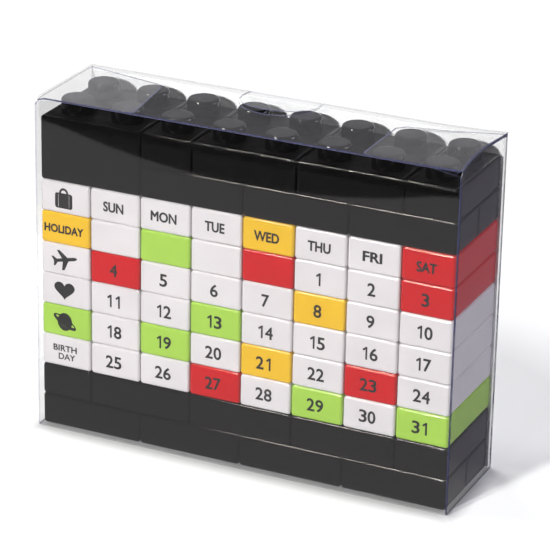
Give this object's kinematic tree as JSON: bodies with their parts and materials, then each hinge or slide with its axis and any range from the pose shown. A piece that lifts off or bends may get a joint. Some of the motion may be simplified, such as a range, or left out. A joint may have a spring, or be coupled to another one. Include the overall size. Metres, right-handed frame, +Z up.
{
  "type": "desk calendar",
  "caption": "Perpetual desk calendar stacked from printed building bricks, standing in a clear film case with a hinged tuck-in lid.",
  "frame": {"origin": "middle of the underside of the film case", "axes": "+X along the weeks from Sunday to Saturday, the dates face -Y, +Z up"},
  "size_m": [0.13, 0.0344, 0.102],
  "materials": {
    "white_plastic": "glossy moulded",
    "red_plastic": "glossy moulded",
    "green_plastic": "glossy moulded",
    "yellow_plastic": "glossy moulded",
    "black_plastic": "glossy moulded",
    "clear_film": "clear folded film",
    "white_card": "matt card"
  },
  "bodies": {
    "case": {"suitcase_brick": "white_plastic", "holiday_brick": "yellow_plastic", "plane_brick": "white_plastic", "heart_brick": "white_plastic", "planet_brick": "green_plastic", "birthday_brick": "white_plastic", "sun_brick": "white_plastic", "mon_brick": "white_plastic", "tue_brick": "white_plastic", "wed_brick": "yellow_plastic", "thu_brick": "white_plastic", "fri_brick": "white_plastic", "sat_brick": "red_plastic", "blank_brick_1": "white_plastic", "blank_brick_2": "green_plastic", "blank_brick_3": "white_plastic", "blank_brick_4": "red_plastic", "day_brick_01": "white_plastic", "day_brick_02": "white_plastic", "day_brick_03": "red_plastic", "day_brick_04": "red_plastic", "day_brick_05": "white_plastic", "day_brick_06": "white_plastic", "day_brick_07": "white_plastic", "day_brick_08": "yellow_plastic", "day_brick_09": "white_plastic", "day_brick_10": "white_plastic", "day_brick_11": "white_plastic", "day_brick_12": "white_plastic", "day_brick_13": "green_plastic", "day_brick_14": "white_plastic", "day_brick_15": "white_plastic", "day_brick_16": "white_plastic", "day_brick_17": "white_plastic", "day_brick_18": "white_plastic", "day_brick_19": "green_plastic", "day_brick_20": "white_plastic", "day_brick_21": "yellow_plastic", "day_brick_22": "white_plastic", "day_brick_23": "red_plastic", "day_brick_24": "white_plastic", "day_brick_25": "white_plastic", "day_brick_26": "white_plastic", "day_brick_27": "red_plastic", "day_brick_28": "white_plastic", "day_brick_29": "green_plastic", "day_brick_30": "white_plastic", "day_brick_31": "green_plastic", "base_course_lower": "black_plastic", "base_course_upper": "black_plastic", "corner_block": "black_plastic", "crown_course_lower": "black_plastic", "crown_course_upper": "black_plastic", "case_shell": "clear_film", "backing_card": "white_card"},
    "lid": {"case_lid": "clear_film"},
    "tuck": {"tuck_flap": "clear_film"},
    "dust_left": {"dust_flap_left": "clear_film"},
    "dust_right": {"dust_flap_right": "clear_film"}
  },
  "joints": [
    {"name": "lid_hinge", "type": "hinge", "parent": "case", "child": "lid", "pos_m": [0, 0.0172, 0.1017], "axis": [-1, 0, 0], "range_deg": [0, 180]},
    {"name": "tuck_fold", "type": "hinge", "parent": "lid", "child": "tuck", "pos_m": [0, -0.01605, 0.1017], "axis": [1, 0, 0], "range_deg": [0, 63]},
    {"name": "dust_fold_left", "type": "hinge", "parent": "case", "child": "dust_left", "pos_m": [-0.065, 0, 0.10125], "axis": [0, -1, 0], "range_deg": [0, 36]},
    {"name": "dust_fold_right", "type": "hinge", "parent": "case", "child": "dust_right", "pos_m": [0.065, 0, 0.10125], "axis": [0, 1, 0], "range_deg": [0, 36]}
  ],
  "couplings": [
    {"joint": "tuck_fold", "follows": "lid_hinge", "ratio": 0.35},
    {"joint": "dust_fold_left", "follows": "lid_hinge", "ratio": 0.2},
    {"joint": "dust_fold_right", "follows": "lid_hinge", "ratio": 0.2}
  ]
}
